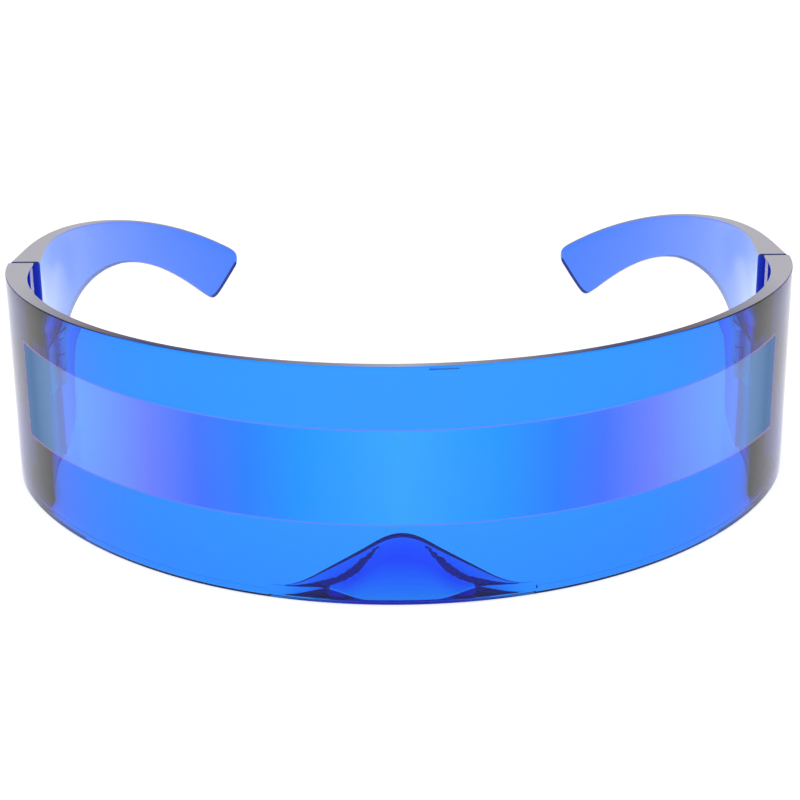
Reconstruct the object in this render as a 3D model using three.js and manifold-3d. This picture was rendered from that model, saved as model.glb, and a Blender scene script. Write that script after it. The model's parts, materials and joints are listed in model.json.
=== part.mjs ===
// One-piece shield visor sunglasses: a wrapped shield with its nose saddle moulded in,
// two tall temples that sweep down to a slim arm, and a three-knuckle metal hinge a side.
// Millimetres, +Z up. The shield faces -Y, and +X is the wearer's left.
// The origin is under the middle of the whole object, on the surface it stands on.
import * as THREE from 'three';
import { mergeVertices } from 'three/addons/utils/BufferGeometryUtils.js';
import Module from 'manifold-3d';

// Whole object
const HEIGHT = 38.4;
const DEPTH = 130;
const ORIGIN_Y = DEPTH / 2;

// Shield. Its outer face follows a plan curve whose heading is a polynomial in t, which runs
// from 0 at the middle to 1 at the hinge end.
const SHIELD_ARC = 106.95;
const SHIELD_TURN = [0, 1.686, 0, -0.8285, 0, 0.6396];
const SHIELD_OVERRUN = 1.02;
const SHIELD_STATIONS = 96;

// The wall is thin in front of the eyes and thickens towards the hinge blocks.
const LENS_THICKNESS = 1.55;
const END_BLOCK_THICKNESS = 4.8;
const THICKEN_FROM = 0.2;
const THICKEN_TO = 0.97;
const THICKEN_POWER = 3.4;

// Nose saddle: a ramp that rises backwards from the foot of the shield to an arched rim.
const SADDLE_HALF_SPAN = 20.8;
const SADDLE_REACH = 8.45;
const SADDLE_RISE = 8.2;
const SADDLE_RIM_GROWTH = 3.9;
const SADDLE_BASE_Z = 0.2;
const SADDLE_ROOT_MIDDLE = 0.35;
const SADDLE_ROOT_SIDE = 1.5;
const SADDLE_ROOT_FROM = 5;
const SADDLE_ROOT_TO = 14;
const SADDLE_ROOT = 1.0;
const SADDLE_SINK = 0.4;
const SADDLE_FOOT_WIDTH = 0.75;
const SADDLE_END = 0.97;
const SADDLE_STATIONS = 40;

// Temple. The same kind of plan curve, with t from 0 at the joint to 1 at the tip.
const TEMPLE_ARC = 78.7;
const TEMPLE_TURN = [1.611, -0.573, 4.0, -2.297];
const TEMPLE_START_X = 72.3;
const TEMPLE_START_Y = 66.6;
const TEMPLE_OVERRUN = 1.5;
const ARM_THICKNESS = 2.7;
const TEMPLE_EXTRA_THICKNESS = 2.8;
const TEMPLE_TAPER_LENGTH = 15;
const TEMPLE_TAPER_POWER = 1.6;
const TIP_DROP = 13.2;
const TIP_DROP_POWER = 3.88;

// Lower edge of the temple, by distance along it: level, round a corner, up a long sweep to the
// highest point of the arm's underside, down in a parabola, and slanting up along the tip's end.
const HEEL_FROM = 12.5;
const HEEL_RADIUS = 6;
const SWEEP_TO = 47.5;
const SWEEP_HEIGHT = 27;
const SWEEP_POWER = 1.8;
const ARM_SAG = 0.021;
const TIP_CORNER = 72.3;
const TIP_EDGE = 0.8;
const HEEL_STATIONS = 6;
const SWEEP_STATIONS = 16;
const ARM_STATIONS = 14;
const TIP_STATIONS = 4;

// Joint between the shield and a temple, and the hinge on its inner side
const JOINT_Y = 66.75;
const JOINT_GAP = 0.36;
const PIN_X = 66.4;
const KNUCKLE_RADIUS = 1.3;
const KNUCKLE_HEIGHT = 2.8;
const KNUCKLE_GAP = 0.3;
const HINGE_HEIGHT = 3 * KNUCKLE_HEIGHT + 2 * KNUCKLE_GAP;
const HINGE_Z = (HEIGHT - HINGE_HEIGHT) / 2;
const LEAF_THICKNESS = 0.8;
const LEAF_LENGTH = 8.5;
const LEAF_CORNER = 1.2;
const LEAF_CORNER_SIDES = 5;
const ANCHOR_DEPTH = 2;
const ANCHOR_LENGTH = 2;
const ANCHOR_HEIGHT = 4.8;
const ANCHOR_FROM_PIN = 4.6;
const SCREW_RADIUS = 0.5;
const SCREW_HOLE_RADIUS = 0.58;
const SCREW_HEAD_RADIUS = 1.15;
const SCREW_HEAD_HEIGHT = 0.55;
const SCREW_HEAD_ROOM = 0.5;
const SCREW_CLEARANCE = 0.1;
const SCREW_SLOT_WIDTH = 0.3;
const SCREW_SLOT_HALF_LENGTH = 2.3;
const SCREW_SLOT_DEPTH = 0.25;
const FIT_GAP = 0.3;
const BARREL_GAP = 0.35;
const RECESS_DEPTH_INBOARD = 2;

const CUT_MARGIN = 1;
const LAST_STEP_MARGIN = 1e-6;
const PATH_STEPS = 2000;
const ROUND_SIDES = 32;
const MERGE_DISTANCE = 1e-4;

const wasm = await Module();
wasm.setup();

const shieldPlastic = new THREE.MeshStandardMaterial({
  color: 0x3391ff, roughness: 0.06, metalness: 0.1, transparent: true, opacity: 0.7,
});
const templePlastic = new THREE.MeshStandardMaterial({
  color: 0x5a7cf2, roughness: 0.08, metalness: 0, transparent: true, opacity: 0.8,
});
const hingeSteel = new THREE.MeshStandardMaterial({ color: 0xb8bcc2, roughness: 0.3, metalness: 1 });
const screwSteel = new THREE.MeshStandardMaterial({ color: 0xd4d7db, roughness: 0.2, metalness: 1 });

// ---- Solids ----

function toSolid(geometry) {
  const bare = geometry.clone();
  bare.deleteAttribute('normal');
  bare.deleteAttribute('uv');
  const merged = mergeVertices(bare, MERGE_DISTANCE);
  return new wasm.Manifold(new wasm.Mesh({
    numProp: 3,
    vertProperties: new Float32Array(merged.attributes.position.array),
    triVerts: new Uint32Array(merged.index.array),
  }));
}

function toGeometry(solid) {
  const mesh = solid.getMesh();
  const geometry = new THREE.BufferGeometry();
  geometry.setAttribute('position', new THREE.BufferAttribute(mesh.vertProperties, 3));
  geometry.setIndex(new THREE.BufferAttribute(mesh.triVerts, 1));
  geometry.computeVertexNormals();
  return geometry;
}

// A box given by its lowest and highest corners.
function block(low, high) {
  const size = high.map((value, axis) => value - low[axis]);
  const geometry = new THREE.BoxGeometry(...size);
  geometry.translate(low[0] + size[0] / 2, low[1] + size[1] / 2, low[2] + size[2] / 2);
  return toSolid(geometry);
}

// A cylinder about the hinge pin.
function pinCylinder(radius, fromZ, toZ) {
  const geometry = new THREE.CylinderGeometry(radius, radius, toZ - fromZ, ROUND_SIDES);
  geometry.rotateX(Math.PI / 2);
  geometry.translate(PIN_X, JOINT_Y, (fromZ + toZ) / 2);
  return toSolid(geometry);
}

// Joins a row of equal rings, each a convex polygon, into a closed body.
function loft(rings) {
  const sides = rings[0].length;
  const triangles = [];
  for (let i = 0; i + 1 < rings.length; i += 1) {
    for (let j = 0; j < sides; j += 1) {
      const a = i * sides + j;
      const b = i * sides + ((j + 1) % sides);
      triangles.push(a, b, b + sides, a, b + sides, a + sides);
    }
  }
  const last = (rings.length - 1) * sides;
  for (let j = 1; j + 1 < sides; j += 1) {
    triangles.push(0, j + 1, j, last, last + j, last + j + 1);
  }
  const geometry = new THREE.BufferGeometry();
  geometry.setAttribute('position', new THREE.Float32BufferAttribute(rings.flat(2), 3));
  geometry.setIndex(triangles);
  return toSolid(geometry);
}

// ---- Plan curves ----

function polynomial(coefficients, t) {
  return coefficients.reduce((sum, coefficient, power) => sum + coefficient * t ** power, 0);
}

// Follows a heading from a start point, and returns a function that gives the place and the
// inward normal at a distance along the curve.
function followHeading(turn, arc, startX, startY, from, to) {
  const step = (to - from) / PATH_STEPS;
  const headingAt = (distance) => polynomial(turn, distance / arc);
  const xs = [0];
  const ys = [0];
  for (let i = 0; i < PATH_STEPS; i += 1) {
    const heading = headingAt(from + (i + 0.5) * step);
    xs.push(xs[i] + step * Math.cos(heading));
    ys.push(ys[i] + step * Math.sin(heading));
  }
  const lookUp = (list, distance) => {
    const place = THREE.MathUtils.clamp((distance - from) / step, 0, PATH_STEPS - LAST_STEP_MARGIN);
    const i = Math.floor(place);
    return THREE.MathUtils.lerp(list[i], list[i + 1], place - i);
  };
  const originX = startX - lookUp(xs, 0);
  const originY = startY - lookUp(ys, 0);
  return (distance) => {
    const heading = headingAt(distance);
    return {
      x: originX + lookUp(xs, distance),
      y: originY + lookUp(ys, distance),
      inX: -Math.sin(heading),
      inY: Math.cos(heading),
    };
  };
}

// The shield's curve is worked out for its left half and mirrored for the other.
const shieldHalf = followHeading(SHIELD_TURN, SHIELD_ARC, 0, 0, 0, SHIELD_ARC * SHIELD_OVERRUN);

function shieldPlace(distance) {
  const place = shieldHalf(Math.abs(distance));
  const side = distance < 0 ? -1 : 1;
  return { x: side * place.x, y: place.y, inX: side * place.inX, inY: place.inY };
}

const templePlace = followHeading(
  TEMPLE_TURN, TEMPLE_ARC, TEMPLE_START_X, TEMPLE_START_Y, -TEMPLE_OVERRUN, TEMPLE_ARC,
);

// A point at a depth behind the outer face, at a height.
function behind(place, depth, z) {
  return [place.x + place.inX * depth, place.y + place.inY * depth, z];
}

function spread(from, to, count) {
  return Array.from({ length: count + 1 }, (_, i) => from + ((to - from) * i) / count);
}

// ---- Shield ----

function shieldThickness(distance) {
  const t = Math.abs(distance) / SHIELD_ARC;
  const share = THREE.MathUtils.clamp((t - THICKEN_FROM) / (THICKEN_TO - THICKEN_FROM), 0, 1);
  return THREE.MathUtils.lerp(LENS_THICKNESS, END_BLOCK_THICKNESS, share ** THICKEN_POWER);
}

// Share of the saddle's full reach and rise: 1 in the middle, falling to 0 at its feet.
function saddleBell(share) {
  return Math.cos((Math.PI / 2) * share) ** 2;
}

// The saddle's height where it leaves the lens: thin in the middle, and thicker at its sides.
function saddleRoot(distance) {
  const side = THREE.MathUtils.smoothstep(Math.abs(distance), SADDLE_ROOT_FROM, SADDLE_ROOT_TO);
  return THREE.MathUtils.lerp(SADDLE_ROOT_MIDDLE, SADDLE_ROOT_SIDE, side);
}

function shieldWall() {
  const end = SHIELD_ARC * SHIELD_OVERRUN;
  return loft(spread(-end, end, SHIELD_STATIONS).map((distance) => {
    const place = shieldPlace(distance);
    const thickness = shieldThickness(distance);
    return [
      behind(place, 0, 0),
      behind(place, thickness, 0),
      behind(place, thickness, HEIGHT),
      behind(place, 0, HEIGHT),
    ];
  }));
}

function noseSaddle() {
  return loft(spread(-SADDLE_END, SADDLE_END, SADDLE_STATIONS).map((share) => {
    const place = shieldPlace(share * SADDLE_HALF_SPAN);
    const bell = saddleBell(share);
    const rootZ = SADDLE_BASE_Z + saddleRoot(share * SADDLE_HALF_SPAN);
    const foot = LENS_THICKNESS - SADDLE_SINK + SADDLE_FOOT_WIDTH * bell;
    const rim = LENS_THICKNESS - SADDLE_SINK + SADDLE_REACH * bell;
    const rimLowZ = SADDLE_BASE_Z + (SADDLE_RISE - SADDLE_RIM_GROWTH) * bell;
    const root = LENS_THICKNESS - SADDLE_ROOT;
    return [
      behind(place, root, SADDLE_BASE_Z),
      behind(place, foot, SADDLE_BASE_Z),
      behind(place, rim, rimLowZ),
      behind(place, rim, rootZ + SADDLE_RISE * bell),
      behind(place, root, rootZ),
    ];
  }));
}

// ---- Temple, as the wearer's left one ----

function templeThickness(distance) {
  const taper = Math.exp(-((Math.max(distance, 0) / TEMPLE_TAPER_LENGTH) ** TEMPLE_TAPER_POWER));
  return ARM_THICKNESS + TEMPLE_EXTRA_THICKNESS * taper;
}

function templeTop(distance) {
  return HEIGHT - TIP_DROP * (Math.max(distance, 0) / TEMPLE_ARC) ** TIP_DROP_POWER;
}

function templeBottom(distance) {
  const heelTo = HEEL_FROM + HEEL_RADIUS;
  if (distance <= HEEL_FROM) return 0;
  if (distance <= heelTo) {
    return HEEL_RADIUS - Math.sqrt(HEEL_RADIUS ** 2 - (distance - HEEL_FROM) ** 2);
  }
  if (distance <= SWEEP_TO) {
    const left = (SWEEP_TO - distance) / (SWEEP_TO - heelTo);
    const rise = (1 - left ** SWEEP_POWER) ** (1 / SWEEP_POWER);
    return THREE.MathUtils.lerp(HEEL_RADIUS, SWEEP_HEIGHT, rise);
  }
  const underside = (at) => SWEEP_HEIGHT - ARM_SAG * (at - SWEEP_TO) ** 2;
  if (distance <= TIP_CORNER) return underside(distance);
  const share = (distance - TIP_CORNER) / (TEMPLE_ARC - TIP_CORNER);
  return THREE.MathUtils.lerp(underside(TIP_CORNER), templeTop(TEMPLE_ARC) - TIP_EDGE, share);
}

// Stations lie closer where the lower edge turns up steeply, on both sides of the heel's top.
function templeStations() {
  const heelTo = HEEL_FROM + HEEL_RADIUS;
  const heel = spread(0, Math.PI / 2, HEEL_STATIONS).map((angle) => {
    return HEEL_FROM + HEEL_RADIUS * Math.sin(angle);
  });
  const sweep = spread(0, Math.PI / 2, SWEEP_STATIONS).map((angle) => {
    return SWEEP_TO - (SWEEP_TO - heelTo) * Math.cos(angle) ** (2 / SWEEP_POWER);
  });
  return [
    ...spread(-TEMPLE_OVERRUN, HEEL_FROM, HEEL_STATIONS),
    ...heel.slice(1),
    ...sweep.slice(1),
    ...spread(SWEEP_TO, TIP_CORNER, ARM_STATIONS).slice(1),
    ...spread(TIP_CORNER, TEMPLE_ARC, TIP_STATIONS).slice(1),
  ];
}

function templeBlade() {
  return loft(templeStations().map((distance) => {
    const place = templePlace(distance);
    const thickness = templeThickness(distance);
    return [
      behind(place, 0, templeBottom(distance)),
      behind(place, thickness, templeBottom(distance)),
      behind(place, thickness, templeTop(distance)),
      behind(place, 0, templeTop(distance)),
    ];
  }));
}

// ---- Hinge, as the wearer's left one ----

// The leaves lie in one plane, touching the outboard side of the knuckles.
const LEAF_OUT_X = PIN_X + KNUCKLE_RADIUS;
const LEAF_IN_X = LEAF_OUT_X - LEAF_THICKNESS;
const HINGE_TOP = HINGE_Z + HINGE_HEIGHT;

function knuckleBottom(index) {
  return HINGE_Z + index * (KNUCKLE_HEIGHT + KNUCKLE_GAP);
}

function knuckle(index) {
  return pinCylinder(KNUCKLE_RADIUS, knuckleBottom(index), knuckleBottom(index) + KNUCKLE_HEIGHT);
}

function roomForKnuckle(index) {
  const bottom = knuckleBottom(index) - KNUCKLE_GAP;
  const top = knuckleBottom(index) + KNUCKLE_HEIGHT + KNUCKLE_GAP;
  return pinCylinder(KNUCKLE_RADIUS + FIT_GAP, bottom, top);
}

// A flat plate from the pin out to a rounded far end. Side is +1 for the temple's leaf.
function leafPlate(side) {
  const outline = new THREE.Shape();
  outline.moveTo(0, HINGE_Z);
  outline.lineTo(LEAF_LENGTH - LEAF_CORNER, HINGE_Z);
  outline.absarc(LEAF_LENGTH - LEAF_CORNER, HINGE_Z + LEAF_CORNER, LEAF_CORNER, -Math.PI / 2, 0);
  outline.absarc(LEAF_LENGTH - LEAF_CORNER, HINGE_TOP - LEAF_CORNER, LEAF_CORNER, 0, Math.PI / 2);
  outline.lineTo(0, HINGE_TOP);
  const geometry = new THREE.ExtrudeGeometry(outline, {
    depth: LEAF_THICKNESS, bevelEnabled: false, curveSegments: LEAF_CORNER_SIDES,
  });
  geometry.rotateX(Math.PI / 2);
  geometry.rotateZ(Math.PI / 2);
  geometry.translate(LEAF_IN_X, 0, 0);
  if (side < 0) geometry.rotateZ(Math.PI).translate(LEAF_IN_X + LEAF_OUT_X, 0, 0);
  geometry.translate(0, JOINT_Y, 0);
  return toSolid(geometry);
}

// The tab that holds a leaf in the plastic, or with a gap, the room that is left for it.
function anchor(side, gap) {
  const near = JOINT_Y + side * ANCHOR_FROM_PIN;
  const far = near + side * ANCHOR_LENGTH;
  const middle = (HINGE_Z + HINGE_TOP) / 2;
  return block(
    [LEAF_OUT_X - LEAF_THICKNESS / 2, Math.min(near, far) - gap, middle - ANCHOR_HEIGHT / 2 - gap],
    [LEAF_OUT_X + ANCHOR_DEPTH + gap, Math.max(near, far) + gap, middle + ANCHOR_HEIGHT / 2 + gap],
  );
}

function hingeLeaf(side, ownKnuckles, otherKnuckles) {
  let leaf = leafPlate(side).add(anchor(side, 0));
  otherKnuckles.forEach((index) => {
    leaf = leaf.subtract(roomForKnuckle(index));
  });
  ownKnuckles.forEach((index) => {
    leaf = leaf.add(knuckle(index));
  });
  return leaf.subtract(pinCylinder(SCREW_HOLE_RADIUS, HINGE_Z - CUT_MARGIN, HINGE_TOP + CUT_MARGIN));
}

function hingeScrew() {
  const headZ = HINGE_TOP + SCREW_CLEARANCE;
  const topZ = headZ + SCREW_HEAD_HEIGHT;
  const slot = block(
    [PIN_X - SCREW_SLOT_HALF_LENGTH, JOINT_Y - SCREW_SLOT_WIDTH / 2, topZ - SCREW_SLOT_DEPTH],
    [PIN_X + SCREW_SLOT_HALF_LENGTH, JOINT_Y + SCREW_SLOT_WIDTH / 2, topZ + CUT_MARGIN],
  );
  return pinCylinder(SCREW_RADIUS, HINGE_Z + SCREW_CLEARANCE, headZ + SCREW_HEAD_HEIGHT / 2)
    .add(pinCylinder(SCREW_HEAD_RADIUS, headZ, topZ))
    .subtract(slot);
}

// The recess for a leaf in the inner face of the plastic.
function leafRecess(side) {
  const near = JOINT_Y - side;
  const far = JOINT_Y + side * (LEAF_LENGTH + FIT_GAP);
  return block(
    [PIN_X - RECESS_DEPTH_INBOARD, Math.min(near, far), HINGE_Z - FIT_GAP],
    [LEAF_OUT_X + FIT_GAP, Math.max(near, far), HINGE_TOP + FIT_GAP],
  ).add(anchor(side, FIT_GAP));
}

// ---- Assembly ----

function mirrored(geometry) {
  const copy = geometry.clone();
  copy.scale(-1, 1, 1);
  const index = copy.index.array;
  for (let i = 0; i < index.length; i += 3) {
    [index[i + 1], index[i + 2]] = [index[i + 2], index[i + 1]];
  }
  return copy;
}

function beyond(fromY, toY) {
  return block([-DEPTH, fromY, -HEIGHT], [DEPTH, toY, 2 * HEIGHT]);
}

function shield() {
  const leftRecess = leafRecess(-1);
  const rightRecess = toSolid(mirrored(toGeometry(leftRecess)));
  return shieldWall()
    .add(noseSaddle())
    .subtract(beyond(JOINT_Y - JOINT_GAP / 2, DEPTH))
    .subtract(leftRecess)
    .subtract(rightRecess);
}

function temple() {
  const barrelRoom = pinCylinder(
    KNUCKLE_RADIUS + BARREL_GAP, HINGE_Z - FIT_GAP, HINGE_TOP + SCREW_HEAD_HEIGHT + SCREW_HEAD_ROOM,
  );
  return templeBlade()
    .subtract(beyond(-DEPTH, JOINT_Y + JOINT_GAP / 2))
    .subtract(leafRecess(1))
    .subtract(barrelRoom);
}

const sunglasses = new THREE.Group();
sunglasses.position.y = -ORIGIN_Y;

function addPiece(name, geometry, material) {
  const mesh = new THREE.Mesh(geometry, material);
  mesh.name = name;
  sunglasses.add(mesh);
}

function addPair(name, solid, material) {
  const geometry = toGeometry(solid);
  addPiece(`${name}_left`, geometry, material);
  addPiece(`${name}_right`, mirrored(geometry), material);
}

addPiece('shield', toGeometry(shield()), shieldPlastic);
addPair('temple', temple(), templePlastic);
addPair('hinge_front_leaf', hingeLeaf(-1, [0, 2], [1]), hingeSteel);
addPair('hinge_temple_leaf', hingeLeaf(1, [1], [0, 2]), hingeSteel);
addPair('hinge_screw', hingeScrew(), screwSteel);

export default sunglasses;
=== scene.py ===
"""One-piece shield visor sunglasses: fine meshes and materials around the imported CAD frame.

Lengths below are in millimetres, in the frame of the CAD part, and are turned into metres
when a mesh is made. Depth is measured inwards from an outer face.
"""
import json
import math

import bmesh
import bpy
from mathutils import Matrix, Vector


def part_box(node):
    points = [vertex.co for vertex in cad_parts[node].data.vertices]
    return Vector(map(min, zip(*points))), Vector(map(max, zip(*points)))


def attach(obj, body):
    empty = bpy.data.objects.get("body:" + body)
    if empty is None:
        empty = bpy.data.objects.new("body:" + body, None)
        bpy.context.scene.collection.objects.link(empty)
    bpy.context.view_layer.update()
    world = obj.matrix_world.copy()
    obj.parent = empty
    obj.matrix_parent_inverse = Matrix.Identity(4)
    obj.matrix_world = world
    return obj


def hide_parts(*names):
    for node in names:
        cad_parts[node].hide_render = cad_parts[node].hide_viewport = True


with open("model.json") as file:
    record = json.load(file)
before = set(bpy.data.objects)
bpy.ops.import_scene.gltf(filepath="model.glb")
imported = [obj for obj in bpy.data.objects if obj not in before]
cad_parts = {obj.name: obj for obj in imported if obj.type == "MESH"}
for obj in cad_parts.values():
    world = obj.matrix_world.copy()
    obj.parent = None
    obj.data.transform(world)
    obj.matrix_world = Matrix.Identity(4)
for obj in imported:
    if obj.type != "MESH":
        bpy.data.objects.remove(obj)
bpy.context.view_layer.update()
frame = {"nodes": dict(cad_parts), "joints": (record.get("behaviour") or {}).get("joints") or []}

MM = 0.001

# ---- Sizes shared with the CAD part ----

SHIELD_LOW, SHIELD_HIGH = (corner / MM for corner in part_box("shield"))
HEIGHT = SHIELD_HIGH.z
FRONT_Y = SHIELD_LOW.y
HINGE = frame["joints"][0]["pos_m"]
JOINT_Y = HINGE[1] / MM
PIN_X = abs(HINGE[0]) / MM
JOINT_GAP = 0.36

SHIELD_ARC = 106.95
SHIELD_TURN = (0, 1.686, 0, -0.8285, 0, 0.6396)
LENS_THICKNESS = 1.55
END_BLOCK_THICKNESS = 4.8
THICKEN_FROM = 0.2
THICKEN_TO = 0.97
THICKEN_POWER = 3.4

SADDLE_HALF_SPAN = 20.8
SADDLE_REACH = 8.05
SADDLE_RISE = 8.2
SADDLE_RIM_GROWTH = 3.9
SADDLE_FOOT_Z = 0.2
SADDLE_ROOT_MIDDLE = 0.12
SADDLE_ROOT_SIDE = 1.5
SADDLE_ROOT_FROM = 5
SADDLE_ROOT_WIDTH = 9

TEMPLE_ARC = 78.7
TEMPLE_TURN = (1.611, -0.573, 4.0, -2.297)
TEMPLE_START = Vector((72.3, 66.6))
ARM_THICKNESS = 2.7
TEMPLE_EXTRA_THICKNESS = 2.8
TEMPLE_TAPER_LENGTH = 15
TEMPLE_TAPER_POWER = 1.6
TIP_DROP = 13.2
TIP_DROP_POWER = 3.88
HEEL_FROM = 12.5
HEEL_RADIUS = 6
SWEEP_TO = 47.5
SWEEP_HEIGHT = 27
SWEEP_POWER = 1.8
ARM_SAG = 0.021
TIP_CORNER = 72.3

# ---- Fine shapes that the CAD part leaves out ----

OUTER_EDGE = 0.3
INNER_EDGE = 0.2
INNER_FLAT = 0.05
BLOCK_EDGE = 0.35
OUTER_FACE_LEVELS = (4, 9)
OUTER_FACE_TOP = 3
INNER_FACE_TOP = 2
INNER_FACE_LOW = 12
WITNESS_Z = 0.8
WITNESS_STEP = 0.08
WITNESS_END = 22.4
WITNESS_SLANT = 1.4
WITNESS_LIP = 0.1
SADDLE_FILLET_MIDDLE = 0.12
SADDLE_FILLET_SIDE = 1.4
SADDLE_FILLET_FADE = 2.7
SADDLE_LEAD_IN = 1.2
SADDLE_LEAD_END = 0.12
# Painted shade on the nose saddle: dark navy on parts of the ramp, on its rim and on its foot,
# standing in for the dark refractions in the folded plastic. SHADE_TOP and SHADE_BOTTOM bound it on
# the ramp, as share of the way up against the distance from the middle.
SHADE_TOP = ((4, 0.86), (5, 0.85), (7.4, 0.76), (9, 0.62), (11, 0.42), (14, 0.28), (19.5, 0.2))
SHADE_BOTTOM = ((4, 0.86), (5.5, 0.72), (7.4, 0.50), (9, 0.36), (11, 0.16), (12, 0), (19.5, 0))
SHADE_FOOT_FROM = 12.0
SHADE_FOOT_TO = 18.8
RIM_SHADE_FROM = 0.93
RAMP_SHADE_SHARE = 0.9
SHADE_MARGIN = 1
SADDLE_BELLY = 1.2
SADDLE_BELLY_AT = 9
SADDLE_BELLY_WIDTH = 3.5
SADDLE_RIM_ROUND = 0.9
SADDLE_RIM_ROUND_FADE = 4
SADDLE_RAMP_SHARE = 0.97
SADDLE_UNDER_TURN = 0.06
SADDLE_FOOT_WIDTH = 0.35
FOOT_LIP = 0.12
FOOT_CHAMFER_TOP = 0.28
FOOT_CHAMFER_GAP = 0.14
GATE_FROM = 4.4
GATE_TO = 14
GATE_DEPTH = 0.3
GATE_HEIGHT = 0.9
GATE_SLOPE_HEIGHT = 0.15
GATE_END = 0.12

BAND_LOW = 13.4
BAND_HIGH = 28.3
BAND_RISE = 1.9
BAND_END = 81.6
BAND_LINE = 0.22

TEMPLE_EDGE = 0.55
TIP_ROUND = 1.7
TIP_CORNER_ROUND = 3.0
TIP_CLOSING = 1.0
TIP_CLOSED_SHARE = 0.96
TIP_END_HEIGHT = 0.2
TIP_LEAST_HEIGHT = 0.1
LEAST_FACE_SHARE = 0.49
LEAST_STEP = 1e-4

PATH_STEPS = 4000
EDGE_STEPS = 5
OUTER_CORNER_STEPS = 5
INNER_CORNER_STEPS = 4
BAND_STEPS = 4
INNER_FACE_STEPS = 5
FILLET_STEPS = 7
RAMP_STEPS = 24
RIM_CURVE_STEPS = 5
UNDER_CURVE_STEPS = 4
UNDER_STEPS = 6
SECTION_STEPS = 6
CURVE_STEPS = 24
ARM_STEPS = 80
SHIELD_RIM_SIDES = range(14, 20)
TEMPLE_INNER_SIDES = range(16, 28)
TEMPLE_RIM_SIDES = (*range(9, 16), *range(28, 35))


# ---- Plan curves ----

def polynomial(coefficients, t):
    return sum(c * t**power for power, c in enumerate(coefficients))


class PlanCurve:
    """A curve in plan that follows a heading polynomial from a start point."""

    def __init__(self, turn, arc, start, low, high):
        self.turn, self.arc, self.low = turn, arc, low
        self.step = (high - low) / PATH_STEPS
        self.points = [Vector((0, 0))]
        for i in range(PATH_STEPS):
            heading = self.heading(low + (i + 0.5) * self.step)
            forward = Vector((math.cos(heading), math.sin(heading)))
            self.points.append(self.points[-1] + forward * self.step)
        self.shift = Vector(start) - self.look_up(0)

    def heading(self, distance):
        return polynomial(self.turn, distance / self.arc)

    def look_up(self, distance):
        place = min(max((distance - self.low) / self.step, 0), PATH_STEPS - 1e-6)
        i = int(place)
        return self.points[i].lerp(self.points[i + 1], place - i)

    def place(self, distance):
        """(point, inward normal, forward direction) at a distance along the curve."""
        heading = self.heading(distance)
        inward = Vector((-math.sin(heading), math.cos(heading)))
        forward = Vector((math.cos(heading), math.sin(heading)))
        return self.look_up(distance) + self.shift, inward, forward


SHIELD_CURVE = PlanCurve(SHIELD_TURN, SHIELD_ARC, (0, 0), 0, SHIELD_ARC * 1.02)
TEMPLE_CURVE = PlanCurve(TEMPLE_TURN, TEMPLE_ARC, TEMPLE_START, -2, TEMPLE_ARC)


def smoothstep(x):
    x = min(max(x, 0), 1)
    return x * x * (3 - 2 * x)


def spread(low, high, count):
    return [low + (high - low) * i / count for i in range(count + 1)]


def curve(start, bend, end, count):
    """Points of a rounded corner from start to end, pulled towards bend."""
    return [
        tuple(start * (1 - t) ** 2 + bend * 2 * t * (1 - t) + end * t * t)
        for t in spread(0, 1, count)
    ]


def arc_points(centre, radius, from_angle, to_angle, count):
    """Points of an arc in a section, each (depth, z), at angles in degrees from +depth to +z."""
    angles = [math.radians(a) for a in spread(from_angle, to_angle, count)]
    return [(centre[0] + radius * math.cos(a), centre[1] + radius * math.sin(a)) for a in angles]


# ---- Meshes ----

def link(name, mesh):
    obj = bpy.data.objects.new(name, mesh)
    bpy.context.scene.collection.objects.link(obj)
    return obj


# Material slots. The rim, joint and recess slots take opaque materials whose tones are painted
# light and shade.
POLISHED, RIM, JOINT, RECESS = range(4)

# Values of the face attribute that marks finishes and painted light: the band coating and its
# edge, SHADE for painted shade on the nose saddle, and on the temples the frosted faces that get
# a painted glow. On the saddle it is minus the share of the way up.
PLAIN, BAND_EDGE, BAND, SHADE = 0.0, 0.5, 1.0, 2.0
AT_FILLET = -0.01
CLEAR, FROSTED_AND_GLOWING = 0.0, 1.0


def loft(name, rings, materials, rim_sides, joint_rings, value_of):
    """A closed mesh through equal rings of points, with flat ends. value_of(ring, side) is stored
    on each side face in the face attribute that marks finishes and painted light. rim_sides are
    the sides left unpolished, and joint_rings the rings whose faces belong to the joint."""
    mesh = bpy.data.meshes.new(name)
    sides = len(rings[0])
    points = [Vector(p) * MM for ring in rings for p in ring]
    faces, values, finish = [], [], []
    for i in range(len(rings) - 1):
        for j in range(sides):
            k = (j + 1) % sides
            faces.append((i * sides + j, i * sides + k, (i + 1) * sides + k, (i + 1) * sides + j))
            values.append(value_of(i, j))
            plain, at_joint = (RIM, RECESS) if j in rim_sides else (POLISHED, JOINT)
            finish.append(at_joint if i in joint_rings else plain)
    faces.append(tuple(reversed(range(sides))))
    faces.append(tuple(range((len(rings) - 1) * sides, len(rings) * sides)))
    values += [PLAIN, PLAIN]
    finish += [JOINT if 0 in joint_rings else POLISHED]
    finish += [JOINT if len(rings) - 2 in joint_rings else POLISHED]
    mesh.from_pydata(points, [], faces)
    mesh.update()
    mesh.polygons.foreach_set("material_index", finish)
    finish_and_painted_light = mesh.attributes.new("finish_and_painted_light", "FLOAT", "FACE")
    finish_and_painted_light.data.foreach_set("value", values)
    for material in materials:
        mesh.materials.append(material)
    obj = link(name, mesh)
    tidy_normals(obj)
    return obj


def tidy_normals(obj):
    bm = bmesh.new()
    bm.from_mesh(obj.data)
    bmesh.ops.recalc_face_normals(bm, faces=bm.faces)
    bm.to_mesh(obj.data)
    bm.free()


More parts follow.
